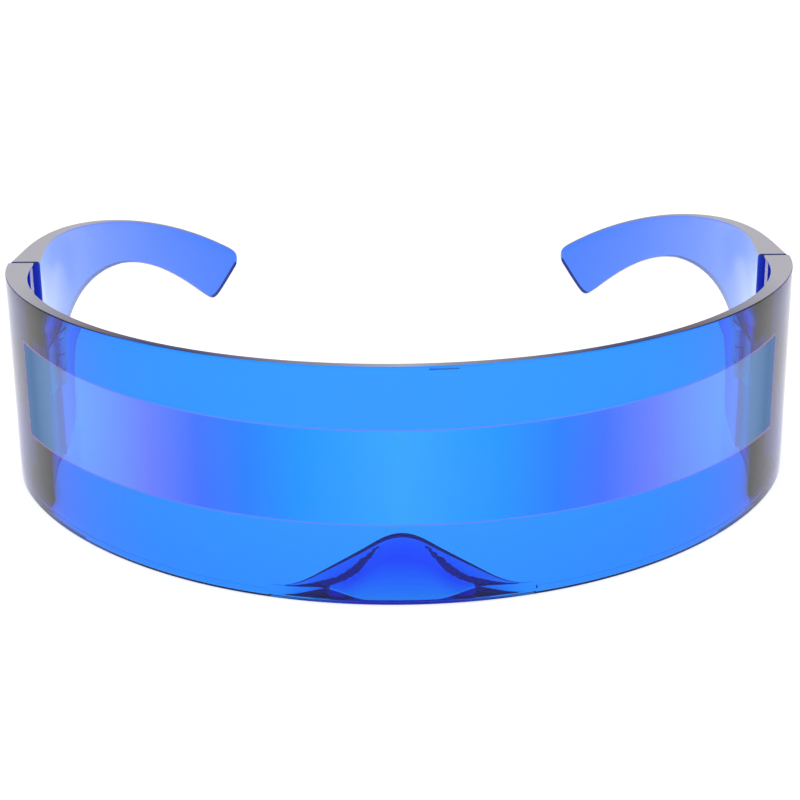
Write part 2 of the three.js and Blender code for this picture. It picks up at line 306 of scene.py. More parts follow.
def soften(obj, angle=32):
    """Smooth shading, with the edges over that angle kept sharp."""
    limit = math.radians(angle)
    bm = bmesh.new()
    bm.from_mesh(obj.data)
    for face in bm.faces:
        face.smooth = True
    for edge in bm.edges:
        edge.smooth = len(edge.link_faces) != 2 or edge.calc_face_angle(0) < limit
    bm.to_mesh(obj.data)
    bm.free()


def box_mesh(name, low, high):
    bm = bmesh.new()
    bmesh.ops.create_cube(bm, size=1)
    low, high = Vector(low) * MM, Vector(high) * MM
    for vertex in bm.verts:
        vertex.co = Vector(
            (high[a] if vertex.co[a] > 0 else low[a]) for a in range(3)
        )
    mesh = bpy.data.meshes.new(name)
    bm.to_mesh(mesh)
    bm.free()
    return link(name, mesh)


def cylinder_mesh(name, x, y, radius, low_z, high_z, sides=48):
    bm = bmesh.new()
    height = (high_z - low_z) * MM
    place = Matrix.Translation(Vector((x, y, (low_z + high_z) / 2)) * MM)
    bmesh.ops.create_cone(
        bm, cap_ends=True, segments=sides, radius1=radius * MM, radius2=radius * MM,
        depth=height, matrix=place,
    )
    mesh = bpy.data.meshes.new(name)
    bm.to_mesh(mesh)
    bm.free()
    return link(name, mesh)


def carve(obj, cutters):
    """Cuts the cutters out of obj, and removes them."""
    for cutter in cutters:
        for material in obj.data.materials:
            cutter.data.materials.append(material)
        for polygon in cutter.data.polygons:
            polygon.material_index = RECESS
        cut = obj.modifiers.new("cut", "BOOLEAN")
        cut.operation = "DIFFERENCE"
        cut.solver = "EXACT"
        cut.object = cutter
    bpy.context.view_layer.update()
    graph = bpy.context.evaluated_depsgraph_get()
    mesh = bpy.data.meshes.new_from_object(obj.evaluated_get(graph))
    obj.modifiers.clear()
    obj.data = mesh
    for cutter in cutters:
        bpy.data.objects.remove(cutter)


# ---- Shield ----

def shield_thickness(distance):
    t = abs(distance) / SHIELD_ARC
    share = min(max((t - THICKEN_FROM) / (THICKEN_TO - THICKEN_FROM), 0), 1)
    return LENS_THICKNESS + (END_BLOCK_THICKNESS - LENS_THICKNESS) * share**THICKEN_POWER


def band_top(distance):
    return BAND_HIGH + BAND_RISE * (distance / BAND_END) ** 2


def saddle_bell(distance):
    """Share of the full reach and rise, from 1 in the middle to 0 at the feet."""
    share = min(abs(distance) / SADDLE_HALF_SPAN, 1)
    return math.cos(math.pi / 2 * share) ** 2


def saddle_root(distance):
    """Height of the saddle where it leaves the lens."""
    share = smoothstep((abs(distance) - SADDLE_ROOT_FROM) / SADDLE_ROOT_WIDTH)
    return SADDLE_ROOT_MIDDLE + (SADDLE_ROOT_SIDE - SADDLE_ROOT_MIDDLE) * share


def gate_bump(distance):
    """Depth of the shallow wedge that the moulding gate left behind the top edge."""
    if distance < GATE_FROM or distance > GATE_TO:
        return 0
    return GATE_DEPTH * (1 - (distance - GATE_FROM) / (GATE_TO - GATE_FROM))


def shield_section(distance):
    """The wall's outline as (depth, z), up the outer face, over the top, and down the inner face
    and round the nose saddle."""
    thick = shield_thickness(distance)
    high = band_top(distance)
    r, q = OUTER_EDGE, INNER_EDGE
    outer = [(0, r), *((0, z) for z in OUTER_FACE_LEVELS)]
    outer += [(0, z) for z in (BAND_LOW - BAND_LINE, BAND_LOW)]
    outer += [(0, z) for z in spread(BAND_LOW, high, BAND_STEPS)[1:-1]]
    outer += [(0, z) for z in (high, high + BAND_LINE, HEIGHT - OUTER_FACE_TOP, HEIGHT - r)]
    top = arc_points((r, HEIGHT - r), r, 180, 90, OUTER_CORNER_STEPS)[1:]
    top += arc_points((thick - q, HEIGHT - q), q, 90, 0, INNER_CORNER_STEPS)
    bump = gate_bump(distance)
    inner = [(thick + bump, HEIGHT - q - INNER_FLAT), (thick + bump, HEIGHT - GATE_HEIGHT)]
    inner += [(thick, HEIGHT - GATE_HEIGHT - GATE_SLOPE_HEIGHT)]
    inner += [(thick, z) for z in spread(HEIGHT - INNER_FACE_TOP, INNER_FACE_LOW, INNER_FACE_STEPS)]
    saddle = saddle_section(distance, thick)
    return outer + top + inner + saddle + foot_section(thick, saddle[-1][1])


def saddle_section(distance, thick):
    """Down the inner face, out along the ramp to the rim, and back under it."""
    bell = saddle_bell(distance)
    grown = smoothstep((WITNESS_END - abs(distance)) / WITNESS_SLANT)
    root = saddle_root(distance)
    line = WITNESS_Z + WITNESS_LIP
    base = line + (SADDLE_FOOT_Z + root - line) * grown
    foot_z = WITNESS_Z + (SADDLE_FOOT_Z - WITNESS_Z) * grown
    side_share = (root - SADDLE_ROOT_MIDDLE) / (SADDLE_ROOT_SIDE - SADDLE_ROOT_MIDDLE)
    fillet = SADDLE_FILLET_MIDDLE + (SADDLE_FILLET_SIDE - SADDLE_FILLET_MIDDLE) * side_share
    fillet *= 1 - math.exp(-SADDLE_FILLET_FADE * bell)
    from_belly = (abs(distance) - SADDLE_BELLY_AT) / SADDLE_BELLY_WIDTH
    belly = SADDLE_BELLY * math.exp(-(from_belly**2))
    reach, rise = SADDLE_REACH * bell, SADDLE_RISE * bell
    up_ramp = Vector((SADDLE_REACH, SADDLE_RISE)).normalized()
    deep = thick + WITNESS_STEP
    start = Vector((deep, base + fillet))
    bend = Vector((deep, base))
    onward = bend + up_ramp * fillet
    points = [(thick, start.y + SADDLE_LEAD_IN), (thick, start.y + SADDLE_LEAD_END)]
    points += curve(start, bend, onward, FILLET_STEPS)
    rim = Vector((deep + reach, base + rise))
    round_off = SADDLE_RIM_ROUND * (1 - math.exp(-SADDLE_RIM_ROUND_FADE * bell))
    ramp_end = rim - up_ramp * min(round_off, (rim - onward).length)
    up_to_rim = spread(0, SADDLE_RAMP_SHARE, RAMP_STEPS)[1:]
    points += [tuple(onward.lerp(ramp_end, t)) for t in up_to_rim]
    points += curve(ramp_end, rim, rim - Vector((0, round_off)), RIM_CURVE_STEPS)
    under_z = foot_z + (SADDLE_RISE - SADDLE_RIM_GROWTH) * bell - belly * grown
    under = Vector((deep + reach, under_z))
    foot = Vector((deep + SADDLE_FOOT_WIDTH * bell, foot_z))
    turn = under.lerp(foot, SADDLE_UNDER_TURN)
    points += curve(under + Vector((0, round_off)), under, turn, UNDER_CURVE_STEPS)
    points += [tuple(turn.lerp(foot, t)) for t in spread(0, 1, UNDER_STEPS)[1:]]
    return points


def between(points, x):
    """Height at x on the broken line through points."""
    for (x0, y0), (x1, y1) in zip(points, points[1:]):
        if x0 <= x <= x1:
            return y0 + (y1 - y0) * (x - x0) / (x1 - x0)
    return None


def ramp_shade(distance, share):
    """True where the saddle's ramp gets painted shade, share being 0 at the lens and 1 at the rim.
    """
    if share > RIM_SHADE_FROM:
        return distance < SADDLE_HALF_SPAN - SHADE_MARGIN
    low, high = between(SHADE_BOTTOM, distance), between(SHADE_TOP, distance)
    return low is not None and low <= share <= high


def foot_section(thick, foot_z):
    """The chamfered inner edge, the flat foot and the rounded outer edge."""
    r = OUTER_EDGE
    chamfer_top = min(FOOT_CHAMFER_TOP, foot_z - FOOT_CHAMFER_GAP)
    points = [(thick, foot_z - FOOT_LIP), (thick, chamfer_top)]
    points += [(thick - 0.2, 0.03), (thick - 0.4, 0), (r, 0)]
    return points + arc_points((r, r), r, 270, 180, OUTER_CORNER_STEPS)[1:-1]


SHIELD_SIDES = shield_section(0)
OUTER_FACE_POINTS = 12
TOP_POINTS = OUTER_CORNER_STEPS + INNER_CORNER_STEPS + 1
GATE_POINTS = 3
LEAD_POINTS = 2
INNER_FACE_END = OUTER_FACE_POINTS + TOP_POINTS + GATE_POINTS + INNER_FACE_STEPS + 1
RAMP_FROM = INNER_FACE_END + LEAD_POINTS + FILLET_STEPS
RIM_FROM = RAMP_FROM + RAMP_STEPS
RAMP_SIDES = range(RAMP_FROM, RAMP_FROM + RAMP_STEPS)
SADDLE_RIM_SIDES = range(RIM_FROM, RIM_FROM + RIM_CURVE_STEPS + 1)
UNDER_FROM = RIM_FROM + RIM_CURVE_STEPS + UNDER_CURVE_STEPS + 2
UNDER_SIDES = range(UNDER_FROM, UNDER_FROM + UNDER_STEPS)
FILLET_SIDES = range(RAMP_FROM - FILLET_STEPS - 1, RAMP_FROM)
BAND_SIDES = [
    j for j, (depth, z) in enumerate(SHIELD_SIDES[:OUTER_FACE_POINTS - 1])
    if depth == 0 and BAND_LOW - BAND_LINE - 0.01 <= z < band_top(0) + 0.01
]


def shield_distances():
    """Distances from the middle to the joint, closer together where the shape changes quickly."""
    whole = spread(0, GATE_TO, 48) + spread(GATE_TO, WITNESS_END + 1, 40)[1:]
    whole += spread(WITNESS_END + 1, BAND_END, 110)[1:]
    whole += spread(BAND_END, SHIELD_ARC - 1, 44)[1:]
    marks = [GATE_FROM - GATE_END, GATE_FROM, BAND_END - BAND_LINE]
    return sorted(set(whole + marks))


def to_plane(point, forward, y):
    """Slides a point forwards along its path until it meets the plane at y."""
    return point + forward * ((y - point.y) / forward.y)


def shield_ring(distance, side, inset=0.0, y=None):
    """The points of the wall at a distance. With y, they are slid onto the joint's plane."""
    point, inward, forward = SHIELD_CURVE.place(abs(distance))
    thick = shield_thickness(distance)
    ring = []
    signed = distance if side > 0 else -distance
    for depth, z in shield_section(signed):
        if inset:
            depth = min(max(depth, inset), thick - inset)
            z = min(max(z, inset), HEIGHT - inset)
        place = point + inward * depth
        if y is not None:
            place = to_plane(place, forward, y)
        ring.append((side * place.x, place.y + FRONT_Y, z))
    return ring


def make_shield(materials):
    end_y = JOINT_Y - FRONT_Y - JOINT_GAP / 2
    distances = shield_distances()
    half = [(d, 0.0, None) for d in distances]
    for angle in spread(0, 90, EDGE_STEPS):
        turn = math.radians(angle)
        inset = BLOCK_EDGE * (1 - math.cos(turn))
        half.append((SHIELD_ARC, inset, end_y - BLOCK_EDGE * (1 - math.sin(turn))))
    right = [shield_ring(d, -1, inset, y) for d, inset, y in reversed(half)]
    left = [shield_ring(d, 1, inset, y) for d, inset, y in half[1:]]
    stations = [-h[0] for h in reversed(half)] + [h[0] for h in half[1:]]

    # Marks the band faces, and the saddle faces that get painted shade (SHADE).
    def finish_and_painted_light(i, j):
        middle = abs(stations[i] + stations[i + 1]) / 2
        if middle < SADDLE_HALF_SPAN - SHADE_MARGIN:
            at_foot = SHADE_FOOT_FROM < middle < SHADE_FOOT_TO
            if j in RAMP_SIDES:
                share = RAMP_SHADE_SHARE * (j - RAMP_FROM + 0.5) / RAMP_STEPS
                return SHADE if ramp_shade(middle, share) else -share
            if j in SADDLE_RIM_SIDES:
                return SHADE
            if j in UNDER_SIDES:
                share = 1 - (j - UNDER_FROM + 0.5) / UNDER_STEPS
                return SHADE if at_foot else -share
            if j in FILLET_SIDES:
                return SHADE if at_foot else AT_FILLET
        if j not in BAND_SIDES or middle > BAND_END:
            return PLAIN
        at_rim = j in (BAND_SIDES[0], BAND_SIDES[-1]) or middle > BAND_END - BAND_LINE
        return BAND_EDGE if at_rim else BAND

    ends = [*range(EDGE_STEPS), *range(len(stations) - 1 - EDGE_STEPS, len(stations) - 1)]
    obj = loft("shield_visor", right + left, materials, SHIELD_RIM_SIDES, ends, finish_and_painted_light)
    carve(obj, [cutter for side in (-1, 1) for cutter in leaf_cutters(side, -1)])
    soften(obj)
    return obj


# ---- Hinge recesses ----

LEAF_LENGTH = 8.5
LEAF_OUT_X = PIN_X + 1.3
KNUCKLE_ROOM = 1.65
BARREL_HEADROOM = 1.1
RECESS_MOUTH = 2
FIT_GAP = 0.3
HINGE_HALF_HEIGHT = 4.5
ANCHOR_NEAR = 4.6
ANCHOR_FAR = 6.6
ANCHOR_DEPTH = 2
ANCHOR_HALF_HEIGHT = 2.4


def mirrored_box(name, side, low, high):
    xs = sorted((side * low[0], side * high[0]))
    ys = sorted((low[1], high[1]))
    return box_mesh(name, (xs[0], ys[0], low[2]), (xs[1], ys[1], high[2]))


def leaf_cutters(side, along):
    """Room for a hinge leaf. side is the wearer's left (+1) or right (-1), and along is the way
    the leaf runs from the joint, -1 in the shield and +1 in the temple."""
    middle = HEIGHT / 2
    tall = HINGE_HALF_HEIGHT + FIT_GAP
    plate = mirrored_box(
        "plate_room", side,
        (PIN_X - RECESS_MOUTH, JOINT_Y - along, middle - tall),
        (LEAF_OUT_X + FIT_GAP, JOINT_Y + along * (LEAF_LENGTH + FIT_GAP), middle + tall),
    )
    tall = ANCHOR_HALF_HEIGHT + FIT_GAP
    tab_far = JOINT_Y + along * (ANCHOR_FAR + FIT_GAP)
    tab = mirrored_box(
        "tab_room", side,
        (PIN_X - RECESS_MOUTH, JOINT_Y + along * (ANCHOR_NEAR - FIT_GAP), middle - tall),
        (LEAF_OUT_X + ANCHOR_DEPTH + FIT_GAP, tab_far, middle + tall),
    )
    return [plate, tab]


# ---- Temples ----

def temple_thickness(distance):
    taper = math.exp(-((max(distance, 0) / TEMPLE_TAPER_LENGTH) ** TEMPLE_TAPER_POWER))
    thick = ARM_THICKNESS + TEMPLE_EXTRA_THICKNESS * taper
    past = (distance - (TEMPLE_ARC - TIP_CLOSING)) / TIP_CLOSING
    return thick * math.sqrt(1 - TIP_CLOSED_SHARE * past * past) if past > 0 else thick


def temple_top(distance):
    z = HEIGHT - TIP_DROP * (max(distance, 0) / TEMPLE_ARC) ** TIP_DROP_POWER
    past = distance - (TEMPLE_ARC - TIP_ROUND)
    if past > 0:
        z -= TIP_ROUND - math.sqrt(max(TIP_ROUND**2 - past**2, 0))
    return z


def smooth_max(a, b, width):
    return (a + b + math.sqrt((a - b) ** 2 + width**2)) / 2


def temple_bottom(distance):
    heel_to = HEEL_FROM + HEEL_RADIUS
    if distance <= HEEL_FROM:
        return 0
    if distance <= heel_to:
        return HEEL_RADIUS - math.sqrt(HEEL_RADIUS**2 - (distance - HEEL_FROM) ** 2)
    if distance <= SWEEP_TO:
        left = (SWEEP_TO - distance) / (SWEEP_TO - heel_to)
        rise = (1 - left**SWEEP_POWER) ** (1 / SWEEP_POWER)
        return HEEL_RADIUS + (SWEEP_HEIGHT - HEEL_RADIUS) * rise
    underside = SWEEP_HEIGHT - ARM_SAG * (distance - SWEEP_TO) ** 2
    corner_z = SWEEP_HEIGHT - ARM_SAG * (TIP_CORNER - SWEEP_TO) ** 2
    end_z = HEIGHT - TIP_DROP - TIP_ROUND - TIP_END_HEIGHT
    slant = corner_z + (end_z - corner_z) * (distance - TIP_CORNER) / (TEMPLE_ARC - TIP_CORNER)
    low = smooth_max(underside, slant, TIP_CORNER_ROUND)
    return min(low, temple_top(distance) - TIP_LEAST_HEIGHT)


def temple_section(distance, inset=0.0):
    """The temple's outline as (depth, z): outer face up, top, inner face down, and foot."""
    thick = temple_thickness(distance) - inset
    low, high = temple_bottom(distance) + inset, temple_top(distance) - inset
    least = LEAST_FACE_SHARE
    r = min(TEMPLE_EDGE, least * (high - low), least * (thick - inset))
    points = [(inset, z) for z in spread(low + r, high - r, SECTION_STEPS)]
    points += arc_points((inset + r, high - r), r, 180, 90, SECTION_STEPS)[1:]
    points += arc_points((thick - r, high - r), r, 90, 0, SECTION_STEPS)
    points += [(thick, z) for z in spread(high - r, low + r, SECTION_STEPS)[1:]]
    points += arc_points((thick - r, low + r), r, 0, -90, SECTION_STEPS)[1:]
    points += arc_points((inset + r, low + r), r, 270, 180, SECTION_STEPS)[:-1]
    return points


def temple_distances():
    heel_to = HEEL_FROM + HEEL_RADIUS
    quarter = [math.radians(a) for a in spread(0, 90, CURVE_STEPS)]
    distances = spread(1, HEEL_FROM, CURVE_STEPS)
    distances += [HEEL_FROM + HEEL_RADIUS * math.sin(a) for a in quarter]
    left = [math.cos(a) ** (2 / SWEEP_POWER) for a in quarter]
    distances += [SWEEP_TO - (SWEEP_TO - heel_to) * share for share in left]
    distances += spread(SWEEP_TO, TEMPLE_ARC - TIP_ROUND, ARM_STEPS)
    distances += [TEMPLE_ARC - TIP_ROUND + TIP_ROUND * math.sin(a) for a in quarter]
    kept = []
    for distance in sorted(distances):
        if not kept or distance - kept[-1] > LEAST_STEP:
            kept.append(distance)
    return kept


def temple_ring(distance, side, inset=0.0, y=None):
    point, inward, forward = TEMPLE_CURVE.place(distance)
    ring = []
    for depth, z in temple_section(distance, inset):
        place = point + inward * depth
        if y is not None:
            place = to_plane(place, forward, y)
        ring.append((side * place.x, place.y + FRONT_Y, z))
    return ring


def make_temple(side, name, materials):
    start_y = JOINT_Y - FRONT_Y + JOINT_GAP / 2
    rings = []
    for angle in spread(90, 0, EDGE_STEPS):
        turn = math.radians(angle)
        inset = BLOCK_EDGE * (1 - math.cos(turn))
        rings.append(temple_ring(0, side, inset, start_y + BLOCK_EDGE * (1 - math.sin(turn))))
    rings += [temple_ring(d, side) for d in temple_distances()]

    # The inner faces are frosted and carry a painted glow near the hinge.
    def frost_and_glow(i, j):
        return FROSTED_AND_GLOWING if j in TEMPLE_INNER_SIDES else CLEAR

    obj = loft(name, rings, materials, TEMPLE_RIM_SIDES, range(EDGE_STEPS), frost_and_glow)
    barrel = cylinder_mesh(
        "barrel_room", side * PIN_X, JOINT_Y, KNUCKLE_ROOM,
        HEIGHT / 2 - HINGE_HALF_HEIGHT - FIT_GAP,
        HEIGHT / 2 + HINGE_HALF_HEIGHT + BARREL_HEADROOM,
    )
    carve(obj, [*leaf_cutters(side, 1), barrel])
    soften(obj)
    return obj


# ---- Materials ----

def new_material(name):
    material = bpy.data.materials.new(name)
    material.use_nodes = True
    nodes = material.node_tree.nodes
    nodes.clear()
    output = nodes.new("ShaderNodeOutputMaterial")
    surface = nodes.new("ShaderNodeBsdfPrincipled")
    material.node_tree.links.new(surface.outputs["BSDF"], output.inputs["Surface"])
    return material, surface, output


def add_node(material, kind, **settings):
    node = material.node_tree.nodes.new(kind)
    for key, value in settings.items():
        if hasattr(node, key):
            setattr(node, key, value)
        else:
            node.inputs[key.replace("_", " ")].default_value = value
    return node


def join(material, output, target):
    material.node_tree.links.new(output, target)


def colour_ramp(material, stops):
    ramp = add_node(material, "ShaderNodeValToRGB")
    elements = ramp.color_ramp.elements
    while len(elements) < len(stops):
        elements.new(0.5)
    for element, (place, colour) in zip(elements, stops):
        element.position = place
        element.color = (*colour, 1)
    return ramp


def fine_gloss(material, surface, low, high, scale):
    """Roughness that wanders a little, as on a polished moulding."""
    where = add_node(material, "ShaderNodeTexCoord")
    noise = add_node(material, "ShaderNodeTexNoise", Scale=scale, Detail=3.0)
    join(material, where.outputs["Object"], noise.inputs["Vector"])
    spread_out = add_node(material, "ShaderNodeMapRange")
    spread_out.inputs["To Min"].default_value = low
    spread_out.inputs["To Max"].default_value = high
    join(material, noise.outputs["Fac"], spread_out.inputs["Value"])
    join(material, spread_out.outputs["Result"], surface.inputs["Roughness"])


def absorb(material, output, colour, density):
    volume = add_node(material, "ShaderNodeVolumeAbsorption")
    volume.inputs["Color"].default_value = (*colour, 1)
    volume.inputs["Density"].default_value = density
    join(material, volume.outputs["Volume"], output.inputs["Volume"])


PLASTIC_IOR = 1.34
BODY_COLOUR = (0.04, 0.84, 0.992)
BODY_DENSITY = 2600
ARM_COLOUR = (0.05, 0.45, 0.985)
ARM_DENSITY = 1000
FROST_AND_GLOW_LENGTH = 62
COATING_SHARE = 0.15
FACE_TINT = (1.0, 0.56, 1.0)
SADDLE_TINT = (1.0, 0.38, 0.95)
SHADE_COLOUR = (0.02, 0.01, 0.25)
SHADE_CLEARNESS = 0.35
BAND_EDGE_COLOUR = (0.62, 0.30, 0.75)
OVER_BAND_EDGE = 0.75
OVER_PLAIN = 0.25
OVER_BAND = 1.5
UNDER_PLAIN = -0.001
GLOSS_SCALE = 90
CLOUD_SCALE = 120


def shield_plastic():
    material, surface, output = new_material("shield_plastic")
    surface.inputs["IOR"].default_value = PLASTIC_IOR
    surface.inputs["Transmission Weight"].default_value = 1
    fine_gloss(material, surface, 0.0, 0.02, GLOSS_SCALE)
    finish_and_painted_light = add_node(material, "ShaderNodeAttribute", attribute_name="finish_and_painted_light")
    where = add_node(material, "ShaderNodeTexCoord")
    split = add_node(material, "ShaderNodeSeparateXYZ")
    join(material, where.outputs["Object"], split.inputs["Vector"])
    aside = add_node(material, "ShaderNodeMath", operation="ABSOLUTE")
    join(material, split.outputs["X"], aside.inputs[0])
    share = add_node(material, "ShaderNodeMath", operation="DIVIDE")
    share.inputs[1].default_value = SHIELD_HIGH.x * MM
    join(material, aside.outputs[0], share.inputs[0])
    # The band's colour along its length: the coating's blues and violets laid out in place of their
    # change with view angle, with painted shade in the dark last stops towards the ends.
    tint = colour_ramp(material, [
        (0.00, (0.12, 0.60, 0.80)),
        (0.21, (0.02, 0.43, 0.93)),
        (0.33, (0.05, 0.25, 0.96)),
        (0.43, (0.22, 0.18, 0.95)),
        (0.55, (0.75, 0.28, 0.84)),
        (0.64, (0.76, 0.54, 0.84)),
        (0.72, (0.70, 0.75, 1.00)),
        (0.80, (0.22, 0.50, 0.90)),
        (0.87, (0.05, 0.20, 0.48)),
    ])
    join(material, share.outputs[0], tint.inputs["Fac"])
    is_band_or_shade = add_node(material, "ShaderNodeMath", operation="GREATER_THAN")
    is_band_or_shade.inputs[1].default_value = OVER_BAND_EDGE
    join(material, finish_and_painted_light.outputs["Fac"], is_band_or_shade.inputs[0])
    is_coated_or_shade = add_node(material, "ShaderNodeMath", operation="GREATER_THAN")
    is_coated_or_shade.inputs[1].default_value = OVER_PLAIN
    join(material, finish_and_painted_light.outputs["Fac"], is_coated_or_shade.inputs[0])
    coated = add_node(material, "ShaderNodeMix", data_type="RGBA")
    coated.inputs[6].default_value = (*BAND_EDGE_COLOUR, 1)
    join(material, is_band_or_shade.outputs[0], coated.inputs[0])
    join(material, tint.outputs["Color"], coated.inputs[7])
    ramp_share = add_node(material, "ShaderNodeMath", operation="MULTIPLY")
    ramp_share.inputs[1].default_value = -1
    join(material, finish_and_painted_light.outputs["Fac"], ramp_share.inputs[0])
    saddle_tint = colour_ramp(material, [(0, (1, 1, 1)), (1, SADDLE_TINT)])
    join(material, ramp_share.outputs[0], saddle_tint.inputs["Fac"])
    is_saddle = add_node(material, "ShaderNodeMath", operation="LESS_THAN")
    is_saddle.inputs[1].default_value = UNDER_PLAIN
    join(material, finish_and_painted_light.outputs["Fac"], is_saddle.inputs[0])
    clear_base = add_node(material, "ShaderNodeMix", data_type="RGBA")
    clear_base.inputs[6].default_value = (*FACE_TINT, 1)
    join(material, is_saddle.outputs[0], clear_base.inputs[0])
    join(material, saddle_tint.outputs["Color"], clear_base.inputs[7])
    base = add_node(material, "ShaderNodeMix", data_type="RGBA")
    join(material, clear_base.outputs[2], base.inputs[6])
    join(material, is_coated_or_shade.outputs[0], base.inputs[0])
    join(material, coated.outputs[2], base.inputs[7])
    # Painted shade: faces marked SHADE turn dark navy and lose clearness.
    navy = add_node(material, "ShaderNodeMix", data_type="RGBA")
    navy.inputs[7].default_value = (*SHADE_COLOUR, 1)
    join(material, base.outputs[2], navy.inputs[6])
    join(material, navy.outputs[2], surface.inputs["Base Color"])
    # Painted shade: the band loses clearness towards its ends, so it reads darker there.
    clear = colour_ramp(material, [(0.74, (1, 1, 1)), (0.87, (0.25, 0.25, 0.25))])
    join(material, share.outputs[0], clear.inputs["Fac"])
    see_through = add_node(material, "ShaderNodeMix", data_type="FLOAT")
    see_through.inputs[2].default_value = 1
    join(material, is_coated_or_shade.outputs[0], see_through.inputs[0])
    join(material, clear.outputs["Color"], see_through.inputs[3])
    is_shade = add_node(material, "ShaderNodeMath", operation="GREATER_THAN")
    is_shade.inputs[1].default_value = OVER_BAND
    join(material, finish_and_painted_light.outputs["Fac"], is_shade.inputs[0])
    shaded = add_node(material, "ShaderNodeMix", data_type="FLOAT")
    shaded.inputs[3].default_value = SHADE_CLEARNESS
    join(material, is_shade.outputs[0], shaded.inputs[0])
    join(material, see_through.outputs[0], shaded.inputs[2])
    join(material, is_shade.outputs[0], navy.inputs[0])
    join(material, shaded.outputs[0], surface.inputs["Transmission Weight"])
    surface.inputs["Specular IOR Level"].default_value = 0
    metal = add_node(material, "ShaderNodeMath", operation="MULTIPLY")
    metal.inputs[1].default_value = COATING_SHARE
    join(material, is_coated_or_shade.outputs[0], metal.inputs[0])
    join(material, metal.outputs[0], surface.inputs["Metallic"])
    absorb(material, output, BODY_COLOUR, BODY_DENSITY)
    return material


def temple_plastic():
    material, surface, output = new_material("temple_plastic")
    surface.inputs["IOR"].default_value = PLASTIC_IOR
    surface.inputs["Transmission Weight"].default_value = 1
    where = add_node(material, "ShaderNodeTexCoord")
    split = add_node(material, "ShaderNodeSeparateXYZ")
    join(material, where.outputs["Object"], split.inputs["Vector"])
    back = add_node(material, "ShaderNodeMapRange")
    back.inputs["From Min"].default_value = JOINT_Y * MM
    back.inputs["From Max"].default_value = (JOINT_Y + FROST_AND_GLOW_LENGTH) * MM
    join(material, split.outputs["Y"], back.inputs["Value"])
    clear = colour_ramp(material, [
        (0.0, (0.36, 0.36, 0.36)), (0.3, (0.58, 0.58, 0.58)),
        (0.8, (0.84, 0.84, 0.84)), (1.0, (1, 1, 1)),
    ])
    join(material, back.outputs["Result"], clear.inputs["Fac"])
    frost_and_glow = add_node(material, "ShaderNodeAttribute", attribute_name="finish_and_painted_light")
    see_through = add_node(material, "ShaderNodeMix", data_type="FLOAT")
    see_through.inputs[2].default_value = 1
    join(material, frost_and_glow.outputs["Fac"], see_through.inputs[0])
    join(material, clear.outputs["Color"], see_through.inputs[3])
    join(material, see_through.outputs[0], surface.inputs["Transmission Weight"])
    # Painted glow: the frosted inner faces give off a faint light near the hinge, fading along the
    # arm.
    glow = colour_ramp(material, [
        (0.0, (0.12, 0.17, 0.20)), (0.35, (0.07, 0.12, 0.16)),
        (0.8, (0.01, 0.02, 0.03)), (1.0, (0, 0, 0)),
    ])
    join(material, back.outputs["Result"], glow.inputs["Fac"])
    join(material, glow.outputs["Color"], surface.inputs["Emission Color"])
    join(material, frost_and_glow.outputs["Fac"], surface.inputs["Emission Strength"])
    tint = colour_ramp(material, [(0.0, (0.66, 0.85, 1.0)), (1.0, (0.8, 0.9, 1.0))])
    join(material, back.outputs["Result"], tint.inputs["Fac"])
    join(material, tint.outputs["Color"], surface.inputs["Base Color"])
    fine_gloss(material, surface, 0.16, 0.24, GLOSS_SCALE)
    absorb(material, output, ARM_COLOUR, ARM_DENSITY)
    return material


def raw_edge_painted_shading(name, stops, mottle, roughness):
    """The unpolished edge of the moulding: opaque, clouded, and toned along its length by stops.
    The tones are painted light and shade, in place of the reflections and dark refractions of
    clear plastic.
    """
    material, surface, output = new_material(name)
    where = add_node(material, "ShaderNodeTexCoord")
    split = add_node(material, "ShaderNodeSeparateXYZ")
    join(material, where.outputs["Object"], split.inputs["Vector"])
    aside = add_node(material, "ShaderNodeMath", operation="ABSOLUTE")
    join(material, split.outputs["X"], aside.inputs[0])
    share = add_node(material, "ShaderNodeMath", operation="DIVIDE")
    share.inputs[1].default_value = SHIELD_HIGH.x * MM
    join(material, aside.outputs[0], share.inputs[0])
    noise = add_node(material, "ShaderNodeTexNoise", Scale=CLOUD_SCALE, Detail=3.0)
    join(material, where.outputs["Object"], noise.inputs["Vector"])
    wander = add_node(material, "ShaderNodeMath", operation="MULTIPLY_ADD")
    wander.inputs[1].default_value = mottle
    join(material, noise.outputs["Fac"], wander.inputs[0])
    join(material, share.outputs[0], wander.inputs[2])
    tone = colour_ramp(material, stops)
    join(material, wander.outputs[0], tone.inputs["Fac"])
    join(material, tone.outputs["Color"], surface.inputs["Base Color"])
    surface.inputs["Roughness"].default_value = roughness
    return material


LILAC = (0.90, 0.87, 0.98)
GREY_BLUE = (0.50, 0.49, 0.66)
NAVY = (0.03, 0.035, 0.25)
UMBER = (0.26, 0.19, 0.22)
ROYAL = (0.02, 0.08, 0.85)


